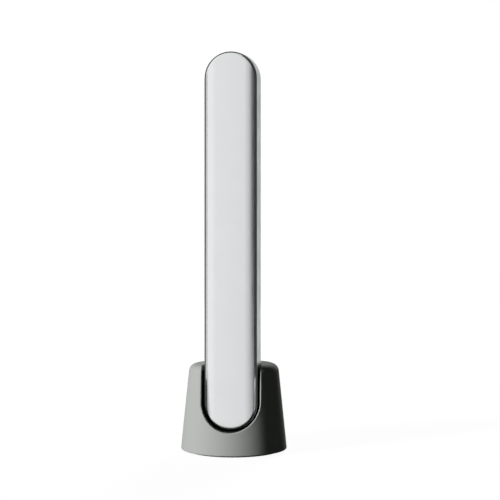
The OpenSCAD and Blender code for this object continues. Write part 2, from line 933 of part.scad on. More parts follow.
// Cutter that rounds the edge of notch and socket: at each station an arc that touches both faces,
// closed outside them
module mouth_lip() {
    steps = 6;
    reach = 1;
    overlap = 0.015;
    points = [
        for (station = mouth)
            let (
                off = station[1],
                open = station[2],
                corner = station[0] + overlap * (off + open),
                centre = corner - lip_round * (off + open) / (1 + off * open),
                across = acos(off * open)
            )
                each concat(
                    [for (i = [0:steps])
                        let (t = i / steps)
                            centre + lip_round
                                * (sin(across * (1 - t)) * off + sin(across * t) * open) / sin(across)],
                    [centre + (lip_round + reach) * open],
                    [corner + reach * (off + open)],
                    [centre + (lip_round + reach) * off]
                )
    ];
    ring = steps + 4;
    polyhedron(points, [
        for (i = [0:len(mouth) - 1], j = [0:ring - 1])
            let (
                a = i * ring + j,
                b = i * ring + (j + 1) % ring,
                next = i == len(mouth) - 1 ? -i * ring : ring
            )
                each [[a, a + next, b], [b, a + next, b + next]]
    ]);
}

// Slice of space behind a given front plane
module behind(front_y) {
    translate([-40, front_y, 0])
        cube([80, 60, 80]);
}

module stand_shell() color("darkgray") {
    difference() {
        union() {
            difference() {
                stand_outer();
                stand_hollow();
            }
            intersection() {
                stand_hollow(-0.5);
                union() {
                    for (p = shell_posts)
                        translate([p[0], p[1], plate_top]) {
                            cylinder(r = post_big_r, h = 5);
                            rotate([0, 0, atan2(p[1], p[0])])
                                translate([0, -1, 0])
                                    cube([8, 2, 5]);
                        }
                    for (x = ballast_holes)
                        translate([x, ballast_hole_y, ballast_top])
                            cylinder(r = 3, h = ceiling_z - ballast_top + 0.4);
                }
            }
        }
        notch();
        intersection() {
            socket(0, stand_h + 5);
            behind(sill_y);
        }
        mouth_lip();
        for (p = shell_posts)
            translate([p[0], p[1], plate_top - 1])
                cylinder(r = base_pilot_r, h = 5.4);
        for (x = ballast_holes)
            translate([x, ballast_hole_y, ballast_top - 1])
                cylinder(r = 1.25, h = 3.6);
        translate([0, stand_r(0) + 5, inlet_z])
            rotate([90, 0, 0])
                linear_extrude(15)
                    inlet_outline(0.3);
    }
}

// Black cradle that lines the notch and holds the stick's lower end
module cradle() color("black") {
    difference() {
        union() {
            intersection() {
                socket(cradle_t, cradle_top);
                stand_hollow(0.1);
            }
            for (p = cradle_posts)
                translate([p[0], p[1], plate_top])
                    cylinder(r = post_big_r, h = 10);
        }
        notch();
        intersection() {
            socket(0, stand_h + 5);
            behind(sill_y);
        }
        for (p = cradle_posts)
            translate([p[0], p[1], plate_top - 1])
                cylinder(r = base_pilot_r, h = 7);
        translate([-block_w / 2 - 0.1, contact_y - block_d / 2 - 0.1, 5])
            cube([block_w + 0.2, block_d + 0.2, 9]);
    }
}

// Insulating block that guides the charge pins up through the cradle's floor
module contact_block() color("black") {
    difference() {
        translate([-block_w / 2, contact_y - block_d / 2, dock_top])
            cube([block_w, block_d, 13.5 - dock_top]);
        socket(0, stand_h);
        for (side = [-1, 1])
            translate([side * pin_pitch / 2, contact_y, 0]) {
                translate([0, 0, dock_top - 1])
                    cylinder(r = pin_well_r, h = pin_neck_z - dock_top + 1);
                cylinder(r = pin_r + slide_fit, h = 20);
            }
    }
}

// Charge pin with a rounded tip and the flange that keeps it in its well
module charge_pin(side) {
    translate([side * pin_pitch / 2, contact_y, pin_flange_z])
        rotate_extrude() {
            square([pin_flange_r, pin_flange_t]);
            bar_section(pin_r, pin_top - pin_flange_z, 0.4);
        }
}

module charge_pin_left() color("gold")
    charge_pin(-1);

module charge_pin_right() color("gold")
    charge_pin(1);

// Coil spring under a charge pin, swept as rings of points along a helix
module pin_spring(side) {
    sides = 6;
    steps = 12 * spring_turns;
    low = dock_top + spring_wire_r + 0.02;
    high = pin_flange_z - spring_wire_r - 0.02;
    points = [
        for (i = [0:steps])
            let (turn = 360 * spring_turns * i / steps, z = low + (high - low) * i / steps)
                for (j = [0:sides - 1])
                    let (a = 360 * j / sides, r = spring_r + spring_wire_r * cos(a))
                        [r * cos(turn), r * sin(turn), z + spring_wire_r * sin(a)]
    ];
    walls = [
        for (i = [0:steps - 1], j = [0:sides - 1])
            let (a = i * sides + j, b = i * sides + (j + 1) % sides)
                each [[a, a + sides, b], [b, a + sides, b + sides]]
    ];
    caps = [
        for (j = [1:sides - 2])
            each [[0, j, j + 1],
                [steps * sides, steps * sides + j + 1, steps * sides + j]]
    ];
    translate([side * pin_pitch / 2, contact_y, 0])
        polyhedron(points, concat(walls, caps));
}

module pin_spring_left() color("silver")
    pin_spring(-1);

module pin_spring_right() color("silver")
    pin_spring(1);

// Board on the base plate, cut round to stay inside the stand's wall
module dock_board() color("green")
    difference() {
        intersection() {
            translate([-10.5, contact_y - 5, dock_z])
                cube([21, 40, board_t]);
            cylinder(r = stand_r(dock_top) - wall_in - 1, h = 20, $fn = 120);
        }
        dock_pins(0.1, 5);
    }

// The base plate's locating pins for the board
module dock_pins(grow, h) {
    for (x = [-9, 9], y = [contact_y - 2, 14])
        translate([x, y, plate_top])
            cylinder(r = 0.8 + grow, h = h);
}

// Rounded outline of the inlet's sleeve
module inlet_outline(grow) {
    r = inlet_h / 2 + grow;
    flat = inlet_w / 2 - inlet_h / 2;
    for (side = [-1, 1])
        translate([side * flat, 0])
            circle(r);
    translate([-flat, -r])
        square([2 * flat, 2 * r]);
}

module charge_inlet() color("silver")
    translate([0, inlet_y, inlet_z])
        rotate([90, 0, 0])
            difference() {
                linear_extrude(inlet_len)
                    inlet_outline(0);
                translate([0, 0, -1])
                    linear_extrude(inlet_len)
                        inlet_outline(-inlet_t);
            }

module inlet_tongue() color("black")
    translate([-3.3, inlet_y - inlet_len + 1, inlet_z - 0.35])
        cube([6.6, inlet_len - 1.6, 0.7]);

// Steel block behind the cradle, on two long screws
module ballast() color("gray")
    difference() {
        intersection() {
            translate([0, 0, ballast_low])
                cylinder(r = ballast_r, h = ballast_h, $fn = 120);
            translate([-20, ballast_y, 0])
                cube([40, 20, 60]);
        }
        for (x = ballast_holes)
            translate([x, ballast_hole_y, 0])
                cylinder(r = 1.4, h = stand_h);
    }

module ballast_screws() color("silver")
    for (x = ballast_holes)
        translate([x, ballast_hole_y, ballast_low]) {
            translate([0, 0, -1.6])
                cylinder(r = 2.4, h = 1.6);
            cylinder(r = 1.2, h = ballast_h + 2.4);
        }

module base_plate() color("dimgray") {
    difference() {
        union() {
            translate([0, 0, plate_z])
                cylinder(r = plate_r, h = base_t, $fn = 120);
            dock_pins(0, dock_top - plate_top);
            for (x = [-9, 9], y = [contact_y - 2, 14])
                translate([x, y, plate_top - 0.1])
                    cylinder(r = 1.5, h = dock_z - plate_top + 0.1);
        }
        for (p = concat(shell_posts, cradle_posts))
            translate([p[0], p[1], 0]) {
                cylinder(r = base_pilot_r + 0.15, h = 10);
                cylinder(r = 2.2, h = plate_z + 1);
            }
        difference() {
            translate([0, 0, -1])
                cylinder(r = foot_out + 0.1, h = foot_t + 1, $fn = 120);
            translate([0, 0, -2])
                cylinder(r = foot_in - 0.1, h = foot_t + 3, $fn = 120);
        }
    }
}

module foot_ring() color("black")
    difference() {
        cylinder(r = foot_out, h = foot_t, $fn = 120);
        translate([0, 0, -1])
            cylinder(r = foot_in, h = foot_t + 2, $fn = 120);
    }

module base_screws() color("silver")
    for (p = concat(shell_posts, cradle_posts))
        translate([p[0], p[1], plate_z + 1 - 0.5]) {
            cylinder(r = 1.9, h = 0.5);
            cylinder(r = base_pilot_r - 0.02, h = base_screw_len);
        }

front_panel();
trim_ring();
side_frame();
back_shell();
case_seal();
head_insulator();
electrode_left();
electrode_right();
electrode_contacts();
power_button();
level_button();
power_switch();
level_switch();
power_stem();
level_stem();
light_guide();
chassis();
circuit_board();
board_chips();
board_screws();
case_screws();
battery_cell();
battery_pad();
battery_tabs();
motor_can();
motor_mount();
motor_weight();
charge_contacts();
charge_leads();
stand_shell();
cradle();
contact_block();
charge_pin_left();
charge_pin_right();
pin_spring_left();
pin_spring_right();
dock_board();
charge_inlet();
inlet_tongue();
ballast();
ballast_screws();
base_plate();
base_screws();
foot_ring();
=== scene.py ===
import bpy
import bmesh
import json
import math
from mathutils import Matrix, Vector

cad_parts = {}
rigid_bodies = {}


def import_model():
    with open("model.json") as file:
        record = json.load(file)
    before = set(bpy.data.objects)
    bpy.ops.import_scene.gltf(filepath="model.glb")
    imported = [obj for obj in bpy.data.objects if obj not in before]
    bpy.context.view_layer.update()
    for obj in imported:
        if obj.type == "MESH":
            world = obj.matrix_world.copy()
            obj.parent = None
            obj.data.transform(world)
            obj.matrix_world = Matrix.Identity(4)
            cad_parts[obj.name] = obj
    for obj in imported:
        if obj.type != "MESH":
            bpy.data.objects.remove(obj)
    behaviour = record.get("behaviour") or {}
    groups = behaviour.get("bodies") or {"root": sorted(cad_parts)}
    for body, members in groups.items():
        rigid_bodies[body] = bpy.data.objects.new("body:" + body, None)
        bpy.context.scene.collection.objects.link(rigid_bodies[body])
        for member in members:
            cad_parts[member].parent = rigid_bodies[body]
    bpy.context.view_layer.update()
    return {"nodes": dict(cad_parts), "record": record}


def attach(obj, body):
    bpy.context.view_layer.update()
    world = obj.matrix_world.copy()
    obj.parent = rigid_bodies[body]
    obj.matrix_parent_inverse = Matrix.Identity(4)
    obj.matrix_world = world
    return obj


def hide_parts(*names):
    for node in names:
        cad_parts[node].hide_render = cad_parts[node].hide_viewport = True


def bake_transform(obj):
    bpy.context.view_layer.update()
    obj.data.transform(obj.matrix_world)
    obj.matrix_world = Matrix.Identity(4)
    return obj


# The start-up file's own cube, lamp and camera go before anything is measured
for thing in list(bpy.data.objects):
    bpy.data.objects.remove(thing, do_unlink=True)

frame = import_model()
MM = 0.001


# ---------------------------------------------------------------- node helpers
def new_tree(data):
    """The emptied node tree of a material or world."""
    data.use_nodes = True
    data.node_tree.nodes.clear()
    return data.node_tree


def add_node(tree, kind, inputs=None, **settings):
    """New shader node. Each input, by its name or place, gets a value or a link from an output."""
    node = tree.nodes.new("ShaderNode" + kind)
    for key, value in settings.items():
        setattr(node, key, value)
    for key, value in (inputs or {}).items():
        if isinstance(value, bpy.types.NodeSocket):
            tree.links.new(value, node.inputs[key])
        else:
            node.inputs[key].default_value = value
    return node


def span(tree, value, low, high, to_low=0.0, to_high=1.0, kind="LINEAR"):
    """Maps low to to_low and high to to_high, and stays at those beyond them."""
    return add_node(tree, "MapRange", {
        "Value": value, "From Min": low, "From Max": high,
        "To Min": to_low, "To Max": to_high}, interpolation_type=kind).outputs[0]


def facing(tree, vector, turn):
    """1 where the vector points to turn, in degrees, and 0 at a right angle to it."""
    turn = math.radians(turn)
    pair = {0: vector, 1: (math.sin(turn), -math.cos(turn), 0)}
    return add_node(tree, "VectorMath", pair, operation="DOT_PRODUCT").outputs["Value"]


def either(tree, a, b):
    return add_node(tree, "Math", {0: a, 1: b}, operation="MAXIMUM").outputs[0]


def shader_mix(tree, fac, first, second):
    """The first shader where fac is 0, the second where it is 1."""
    pair = {0: fac, 1: first.outputs[0], 2: second.outputs[0]}
    return add_node(tree, "MixShader", pair).outputs[0]


# ---------------------------------------------------------------- materials
# Sizes of the noises. The colour is made of drift and grain in these shares
DRIFT_MM, MARKS_MM, PATCH_MM = 22, 7, 3
DRIFT_SHARE, GRAIN_SHARE = 0.7, 0.3
# Handling marks: the noise's range, and how far the roughness goes from the written one
MARKS_FROM, MARKS_TO, MARKS_SPREAD, LEAST_ROUGH = 0.3, 0.7, 0.05, 0.02
# Rubbed edges: width, cosines between the two normals, range and least level of the patches,
# and how much lighter the colour is
RUB_MM, RUB_FROM, RUB_TO = 0.35, 0.99, 0.9
PATCH_FROM, PATCH_TO, PATCH_LEAST = 0.4, 0.65, 0.2
RUB_GAIN, RUB_LIFT, RUB_MOST = 1.5, 0.03, 0.9


class Lacquer:
    """Satin lacquer, moulded plastic, rubber or metal: fine grain in colour and bump, a slow
    drift of colour, handling marks in the roughness, and edges rubbed a little lighter."""

    def __init__(self, name, color, rough, metallic=0.0, specular=0.5, transmission=0.0,
                 grain=0.25, depth=0.004, spread=0.03, wear=0.0):
        self.color = color
        self.mat = bpy.data.materials.new(name)
        self.tree = new_tree(self.mat)
        self.bsdf = add_node(self.tree, "BsdfPrincipled", {
            "Base Color": (*color, 1), "Roughness": rough, "Metallic": metallic,
            "Specular IOR Level": specular, "Transmission Weight": transmission})
        add_node(self.tree, "OutputMaterial", {0: self.bsdf.outputs[0]})
        self.coords = add_node(self.tree, "TexCoord").outputs["Object"]
        fine = self.noise(grain, 2, 0.6)
        self.tint(self.noise(DRIFT_MM, 2), fine, spread)
        if wear:
            self.rub(wear)
        marks = self.noise(MARKS_MM, 4, 0.6, distortion=0.6)
        low, high = max(rough - MARKS_SPREAD, LEAST_ROUGH), min(rough + MARKS_SPREAD, 1)
        self.drive("Roughness", span(self.tree, marks, MARKS_FROM, MARKS_TO, low, high))
        bump = {"Height": fine, "Distance": depth * MM, "Strength": 1.0}
        self.drive("Normal", add_node(self.tree, "Bump", bump).outputs[0])

    def drive(self, socket, value):
        self.tree.links.new(value, self.bsdf.inputs[socket])

    def noise(self, size_mm, detail, rough=0.5, distortion=0.0):
        return add_node(self.tree, "TexNoise", {
            "Vector": self.coords, "Scale": 1000 / size_mm, "Detail": detail,
            "Roughness": rough, "Distortion": distortion}).outputs["Fac"]

    def math(self, kind, a, b, clamp=False):
        node = add_node(self.tree, "Math", {0: a, 1: b}, operation=kind, use_clamp=clamp)
        return node.outputs[0]

    def mix(self, fac, a, b):
        """Colour a where fac is 0, colour b where it is 1. Each is an output or a plain colour."""
        node = add_node(self.tree, "Mix", {"Factor": fac}, data_type="RGBA")
        for value, key in ((a, "A"), (b, "B")):
            socket = next(s for s in node.inputs if s.name == key and s.type == "RGBA")
            if isinstance(value, tuple):
                socket.default_value = (*value, 1)
            else:
                self.tree.links.new(value, socket)
        return next(s for s in node.outputs if s.type == "RGBA")

    def tint(self, drift, fine, spread):
        """Colour that wanders about the written one by spread."""
        low = tuple(max(c * (1 - spread), 0) for c in self.color)
        high = tuple(min(c * (1 + spread), 1) for c in self.color)
        slow = self.math("MULTIPLY", drift, DRIFT_SHARE)
        quick = self.math("MULTIPLY", fine, GRAIN_SHARE)
        self.drive("Base Color", self.mix(self.math("ADD", slow, quick), low, high))

    def rub(self, amount):
        """Lighter edges in uneven patches, where a rounded normal departs from the true one."""
        soft = add_node(self.tree, "Bevel", {"Radius": RUB_MM * MM}, samples=4)
        true = add_node(self.tree, "NewGeometry")
        pair = {0: soft.outputs[0], 1: true.outputs["Normal"]}
        along = add_node(self.tree, "VectorMath", pair, operation="DOT_PRODUCT")
        edge = span(self.tree, along.outputs["Value"], RUB_FROM, RUB_TO)
        blotches = self.noise(PATCH_MM, 3, 0.6)
        patch = span(self.tree, blotches, PATCH_FROM, PATCH_TO, PATCH_LEAST)
        mask = self.math("MULTIPLY", self.math("MULTIPLY", edge, patch), amount, clamp=True)
        below = self.bsdf.inputs["Base Color"].links[0].from_socket
        light = tuple(min(c * RUB_GAIN + RUB_LIFT, RUB_MOST) for c in self.color)
        self.drive("Base Color", self.mix(mask, below, light))


# Each slot's colour and roughness, and what sets it apart. Grain and depth are in millimetres
LOOKS = {
    "satin_silver": ((0.815, 0.823, 0.83), 0.5,
                     dict(metallic=0.85, grain=0.12, depth=0.0015, spread=0.015)),
    "dark_gloss": ((0.02, 0.026, 0.025), 0.12, dict(grain=0.6, depth=0.0006, spread=0.2)),
    "frame_metal": ((0.345, 0.38, 0.364), 0.32,
                    dict(metallic=1.0, grain=0.15, depth=0.0015, wear=0.25)),
    "back_grey": ((0.47, 0.49, 0.48), 0.42, dict(metallic=0.2, grain=0.15, depth=0.002, wear=0.2)),
    "key_grey": ((0.56, 0.57, 0.57), 0.4, dict(metallic=0.3, grain=0.12, depth=0.0015, wear=0.3)),
    "soft_rubber": ((0.022, 0.022, 0.023), 0.75, dict(specular=0.3, grain=0.3, depth=0.01)),
    "polished_chrome": ((0.80, 0.80, 0.815), 0.07,
                        dict(metallic=1.0, grain=0.8, depth=0.0003, spread=0.01)),
    "gold_plate": ((0.83, 0.62, 0.27), 0.18, dict(metallic=1.0, grain=0.3, depth=0.0008)),
    "chip_black": ((0.025, 0.025, 0.028), 0.5, dict(grain=0.1)),
    "stem_tan": ((0.6, 0.46, 0.3), 0.5, dict(grain=0.2)),
    "light_clear": ((0.8, 0.83, 0.84), 0.22, dict(transmission=0.12, grain=0.8)),
    "chassis_grey": ((0.16, 0.17, 0.18), 0.55, dict(grain=0.2, depth=0.006)),
    "board_green": ((0.02, 0.13, 0.06), 0.3, dict(grain=0.5, depth=0.003)),
    "screw_steel": ((0.58, 0.58, 0.59), 0.28, dict(metallic=1.0, grain=0.2, depth=0.001)),
    "cell_blue": ((0.03, 0.16, 0.4), 0.22, dict(grain=1.5)),
    "pad_foam": ((0.05, 0.05, 0.055), 0.9, dict(specular=0.2, depth=0.05)),
    "weight_metal": ((0.42, 0.4, 0.36), 0.38, dict(metallic=1.0, grain=0.15)),
    "lead_amber": ((0.5, 0.2, 0.03), 0.25, dict(grain=0.6, depth=0.001)),
    "stand_grey": ((0.425, 0.44, 0.422), 0.85,
                   dict(specular=0.005, grain=0.18, spread=0.02, wear=0.15)),
    "cradle_black": ((0.028, 0.03, 0.029), 0.6, dict(specular=0.3, grain=0.2, depth=0.005)),
    "ballast_metal": ((0.3, 0.3, 0.31), 0.5, dict(metallic=0.8, grain=0.4, depth=0.01)),
    "base_dark": ((0.035, 0.035, 0.037), 0.6, dict(specular=0.3, depth=0.01)),
}
MATS = {name: Lacquer(name, color, rough, **more).mat
        for name, (color, rough, more) in LOOKS.items()}

for part in frame["record"]["subparts"]:
    for cell in frame["nodes"][part["node"]].material_slots:
        cell.material = MATS[part["material_slot"]]


# ---------------------------------------------------------------- mesh helpers
# Lengths from here to the lamps are in millimetres
STICK_Y, LOW_Z, HIGH_Z = -6.8, 22.1, 162.6
SMOOTH_TO = math.radians(35)
WELD_GAP = 0.001


def shade(mesh):
    """Smooth, but sharp where faces meet at more than SMOOTH_TO."""
    mesh.shade_smooth()
    mesh.set_sharp_from_angle(angle=SMOOTH_TO)


def new_piece(name, points, faces, slot, body):
    """Mesh piece that rides on body, or is left unattached if that is None."""
    mesh = bpy.data.meshes.new(name)
    mesh.from_pydata([Vector(q) * MM for q in points], [], faces)
    mesh.validate()
    shade(mesh)
    item = bpy.data.objects.new(name, mesh)
    bpy.context.scene.collection.objects.link(item)
    mesh.materials.append(MATS[slot])
    if body:
        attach(item, body)
    return item


def welded(item):
    """Joins the points that coincide, and turns all the faces outwards."""
    shape = bmesh.new()
    shape.from_mesh(item.data)
    bmesh.ops.remove_doubles(shape, verts=shape.verts, dist=WELD_GAP * MM)
    bmesh.ops.dissolve_degenerate(shape, edges=shape.edges, dist=WELD_GAP * MM / 10)
    bmesh.ops.recalc_face_normals(shape, faces=shape.faces)
    shape.to_mesh(item.data)
    shape.free()
    shade(item.data)
    return item


def grid_faces(rows, cols, rows_close=True, cols_close=True):
    """Faces between neighbours in a grid of points that is written row by row."""
    faces = []
    for i in range(rows if rows_close else rows - 1):
        here, there = i * cols, (i + 1) % rows * cols
        for j in range(cols if cols_close else cols - 1):
            k = (j + 1) % cols
            faces.append((here + j, here + k, there + k, there + j))
    return faces


def merged(parts):
    points, faces = [], []
    for more_points, more_faces in parts:
        base = len(points)
        points += more_points
        faces += [tuple(base + i for i in face) for face in more_faces]
    return points, faces


def swept(profile, steps=96):
    """Closed ring round the stick's long outline. The profile is (u, v): outwards and forwards."""
    stations = [(HIGH_Z, math.pi * i / steps) for i in range(steps + 1)]
    stations += [(LOW_Z, math.pi * (1 + i / steps)) for i in range(steps + 1)]
    points = [(u * math.cos(a), STICK_Y - v, z + u * math.sin(a))
              for z, a in stations for u, v in profile]
    return points, grid_faces(len(stations), len(profile))


def turned(profile, place, steps=32):
    """Solid turned about the Y axis. The profile is (r, h): out from the axis and backwards."""
    points = []
    for i in range(steps):
        t = 2 * math.pi * i / steps
        for r, h in profile:
            q = (r * math.cos(t), h, r * math.sin(t))
            points.append(tuple(a + b for a, b in zip(place, q)))
    return points, grid_faces(steps, len(profile), cols_close=False)


# ---------------------------------------------------------------- front of the stick
# Polished bead on the dark ring's inner half, with a flat chamfer that faces outwards
BEAD_IN, BEAD_OUT, BEAD_LOW, BEAD_SIDE, BEAD_TOP = 10.32, 11.15, 8.36, 8.42, 9.3
CHAMFER_PARTS = (0.06, 0.94)
BEAD_TIP = [(0.012, -0.008), (0, -0.03)]

rise, run = BEAD_TOP - BEAD_SIDE, BEAD_OUT - BEAD_IN
profile = [(BEAD_IN, BEAD_LOW), (BEAD_OUT, BEAD_LOW), (BEAD_OUT, BEAD_SIDE)]
profile += [(BEAD_OUT - run * t, BEAD_SIDE + rise * t) for t in CHAMFER_PARTS]
profile += [(BEAD_IN + u, BEAD_TOP + v) for u, v in BEAD_TIP]
new_piece("bead", *swept(profile), "polished_chrome", "stick")

# Front panel: a low crown with an edge of EDGE_R on each side. Round the outline goes a brim of
# END_R, which shows at the two ends, and the two forms are blended where they meet
PANEL_HALF, PANEL_T, SEAT_V = 10.2, 1.2, 8.4
CROWN_R, EDGE_R, EDGE_DEG, APEX = 80.0, 4.5, 73, 12.6
END_R, END_TOP, BLEND = 1.25, 12.75, 0.5
EDGE_U = PANEL_HALF - EDGE_R * math.sin(math.radians(EDGE_DEG))
CROWN_TURN = math.asin(EDGE_U / (CROWN_R - EDGE_R))
EDGE_V = APEX - CROWN_R + (CROWN_R - EDGE_R) * math.cos(CROWN_TURN)

# Steps round each end and along each side, and the distances from the outline's centre line at
# which the front has points: wide apart over the crown, close over the edges, and every 5
# degrees round the brim. The hollow's roof lies PANEL_T behind the front at HOLLOW_OUT times
# the distance, which keeps the wall thick at its edge
PANEL_TURNS, PANEL_RUNS = 96, 16
CROWN_US = [i * 0.5 for i in range(12)] + [5.8 + i * 0.16 for i in range(20)]
BRIM_US = [PANEL_HALF - END_R * (1 - math.sin(math.radians(t))) for t in range(5, 91, 5)]
FRONT_US = sorted(u for u in CROWN_US + BRIM_US if u <= PANEL_HALF)
HOLLOW_US = [8.4, 7.6, 6.6, 5.4, 4, 2, 0]
HOLLOW_OUT, HOLLOW_V = 1.1, SEAT_V + 0.2


def panel_height(x, u):
    """How far forward the front is at x from the middle and u from the outline's centre line."""
    x = abs(x)
    if x < EDGE_U + EDGE_R * math.sin(CROWN_TURN):
        arch = APEX - CROWN_R + math.sqrt(CROWN_R ** 2 - x ** 2)
    else:
        arch = EDGE_V + math.sqrt(max(EDGE_R ** 2 - (x - EDGE_U) ** 2, 0))
    past = max(u - (PANEL_HALF - END_R), 0)
    brim = END_TOP - END_R + math.sqrt(max(END_R ** 2 - past ** 2, 0))
    near = max(BLEND - abs(arch - brim), 0) / BLEND
    return min(arch, brim) - near ** 2 * BLEND / 4


def build_panel():
    turns, runs = PANEL_TURNS, PANEL_RUNS
    stations = [(HIGH_Z, math.pi * i / turns) for i in range(turns)]
    stations += [(HIGH_Z + (LOW_Z - HIGH_Z) * i / runs, math.pi) for i in range(runs)]
    stations += [(LOW_Z, math.pi * (1 + i / turns)) for i in range(turns)]
    stations += [(LOW_Z + (HIGH_Z - LOW_Z) * i / runs, 2 * math.pi) for i in range(runs)]
    points = []
    for z, a in stations:
        c, d = math.cos(a), math.sin(a)
        section = [(u, panel_height(u * c, u)) for u in FRONT_US]
        section += [(PANEL_HALF, SEAT_V), (PANEL_HALF - PANEL_T, SEAT_V)]
        for u in HOLLOW_US:
            v = panel_height(u * c * HOLLOW_OUT, u * HOLLOW_OUT) - PANEL_T
            section.append((u, max(v, HOLLOW_V)))
        points += [(u * c, STICK_Y - v, z + u * d) for u, v in section]
    return points, grid_faces(len(stations), len(section), cols_close=False)


panel = welded(new_piece("panel", *build_panel(), "satin_silver", "stick"))
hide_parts("front_panel")

# ---------------------------------------------------------------- back of the stick
BACK_Y, KEY_RISE, DISH_R, DISH_DEPTH = 0.2, 0.5, 18.0, 0.25
POWER_Z, LEVEL_Z, LIGHTS_Z, LIGHT_PITCH, LIGHT_R = 88.1, 101.1, 109.6, 2.9, 0.8
INK_OVER, INK_UNDER = 0.02, 0.03


def dish_y(x, dz):
    """Where a key's dished face lies at x and dz from its centre."""
    return BACK_Y + KEY_RISE + DISH_R - DISH_DEPTH - math.sqrt(DISH_R ** 2 - x ** 2 - dz ** 2)


def inked(strips, z):
    """Thin print on a dished key. A strip lists pairs of points, one on each of its edges."""
    points, faces = [], []
    for strip in strips:
        first, last = len(points), len(points) + 4 * (len(strip) - 1)
        for pair in strip:
            for x, dz in pair:
                points.append((x, dish_y(x, dz) + INK_OVER, z + dz))
                points.append((x, dish_y(x, dz) - INK_UNDER, z + dz))
        for a in range(first, last, 4):
            b = a + 4
            faces += [(a, b, b + 2, a + 2), (a + 1, a + 3, b + 3, b + 1),
                      (a, a + 1, b + 1, b), (a + 2, b + 2, b + 3, a + 3)]
        faces += [(first, first + 2, first + 3, first + 1), (last, last + 1, last + 3, last + 2)]
    return points, faces


def ring_strip(r, width, start, end, steps=40):
    turns = [math.radians(start + (end - start) * i / steps) for i in range(steps + 1)]
    return [[((r + k) * math.cos(t), (r + k) * math.sin(t)) for k in (-width / 2, width / 2)]
            for t in turns]


def bar_strip(x, low, high, width, steps=8):
    heights = [low + (high - low) * i / steps for i in range(steps + 1)]
    return [[(x - width / 2, dz), (x + width / 2, dz)] for dz in heights]


# Power: an open ring with a bar in its gap. Level: three bars of growing length
strips = [ring_strip(r=1.45, width=0.27, start=122, end=418),
          bar_strip(x=0, low=0.35, high=1.95, width=0.27)]
welded(new_piece("power_mark", *inked(strips, POWER_Z), "dark_gloss", "power_key"))
strips = [bar_strip(x=1.0 - i, low=-1.25, high=-0.35 + 0.8 * i, width=0.42) for i in range(3)]
welded(new_piece("level_mark", *inked(strips, LEVEL_Z), "dark_gloss", "level_key"))

# A domed lens over each indicator light, with a bright rim round it. RIM lists the distances out
# from LIGHT_R and the heights over the back
DOME_R, DOME_H, LENS_BACK, LENS_R = 2.2, 0.15, -0.3, LIGHT_R - 0.02
DOME_RINGS = (0.74, 0.62, 0.47, 0.32, 0.16)
RIM = [(0.05, -0.1), (0.05, 0.05), (0.1, 0.08), (0.22, 0.08), (0.3, 0.0), (0.3, -0.1), (0.05, -0.1)]
LIGHT_PLACES = [(0, BACK_Y, LIGHTS_Z + i * LIGHT_PITCH) for i in range(3)]

dome = [(0, LENS_BACK), (LENS_R, LENS_BACK), (LENS_R, 0)]
dome += [(r, math.sqrt(DOME_R ** 2 - r ** 2) - DOME_R + DOME_H) for r in DOME_RINGS]
dome += [(0, DOME_H)]
lenses = merged([turned(dome, place) for place in LIGHT_PLACES])
welded(new_piece("light_lenses", *lenses, "light_clear", "stick"))

rim = [(LIGHT_R + out, h) for out, h in RIM]
rims = merged([turned(rim, place) for place in LIGHT_PLACES])
welded(new_piece("light_rims", *rims, "polished_chrome", "stick"))

# ---------------------------------------------------------------- inside the stand
# Contact fingers on both faces of the inlet's tongue. A section is its y, and its shares of the
# full width and thickness
FINGER_HALF, FINGER_T = 0.16, 0.03
FINGER_SECTIONS = ((15.2, 1, 1), (19.6, 1, 1), (20.1, 0.6, 0.3))
FINGER_X, FINGER_PITCH, FINGER_COUNT = -2.45, 0.7, 8
TONGUE_Z, TONGUE_HALF = 6.43, 0.35


def finger(x, up):
    """Contact finger with a bevelled tip, on the tongue's upper face, or its lower if up is -1."""
    points = []
    for y, wide, thick in FINGER_SECTIONS:
        w, t = FINGER_HALF * wide, FINGER_T * thick * up
        z = TONGUE_Z + TONGUE_HALF * up
        points += [(x - w, y, z), (x + w, y, z), (x - w, y, z + t), (x + w, y, z + t)]
    faces = [(0, 1, 3, 2), (8, 10, 11, 9)]
    for a in (0, 4):
        faces += [(a, a + 4, a + 5, a + 1), (a + 2, a + 3, a + 7, a + 6),
                  (a, a + 2, a + 6, a + 4), (a + 1, a + 5, a + 7, a + 3)]
    return points, faces


fingers = merged([finger(FINGER_X + FINGER_PITCH * i, up)
                  for up in (-1, 1) for i in range(FINGER_COUNT)])
welded(new_piece("inlet_fingers", *fingers, "gold_plate", "stand"))

# The charge pins' springs, drawn at one fixed length
DOCK_TOP, FLANGE_Z, PIN_X, PIN_Y = 4.8, 7.5, 4.0, -3.6
COIL_R, WIRE_R, COIL_TURNS, COIL_GAP = 0.68, 0.12, 4, 0.02


def coil(x, steps=96, sides=8):
    """Spring between dock board and pin flange: a tube along a helix, closed at its ends."""
    low, high = DOCK_TOP + WIRE_R + COIL_GAP, FLANGE_Z - WIRE_R - COIL_GAP
    points = []
    for i in range(steps + 1):
        turn, z = 2 * math.pi * COIL_TURNS * i / steps, low + (high - low) * i / steps
        for j in range(sides):
            a = 2 * math.pi * j / sides
            r = COIL_R + WIRE_R * math.cos(a)
            points.append((x + r * math.cos(turn), PIN_Y + r * math.sin(turn),
                           z + WIRE_R * math.sin(a)))
    faces = grid_faces(steps + 1, sides, rows_close=False)
    faces += [tuple(range(sides)), tuple(steps * sides + j for j in reversed(range(sides)))]
    return points, faces


for side, x in (("left", -PIN_X), ("right", PIN_X)):
    spring = welded(new_piece("spring_" + side, *coil(x), "screw_steel", None))
    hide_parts("pin_spring_" + side)
    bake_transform(spring)

# ---------------------------------------------------------------- lamps
# Lengths from here on are in metres. A turn is in degrees: 0 is the front, and 90 the right side
WHITE = (1, 1, 1, 1)
LAMP_AIM = Vector((0, 0, 0.08))


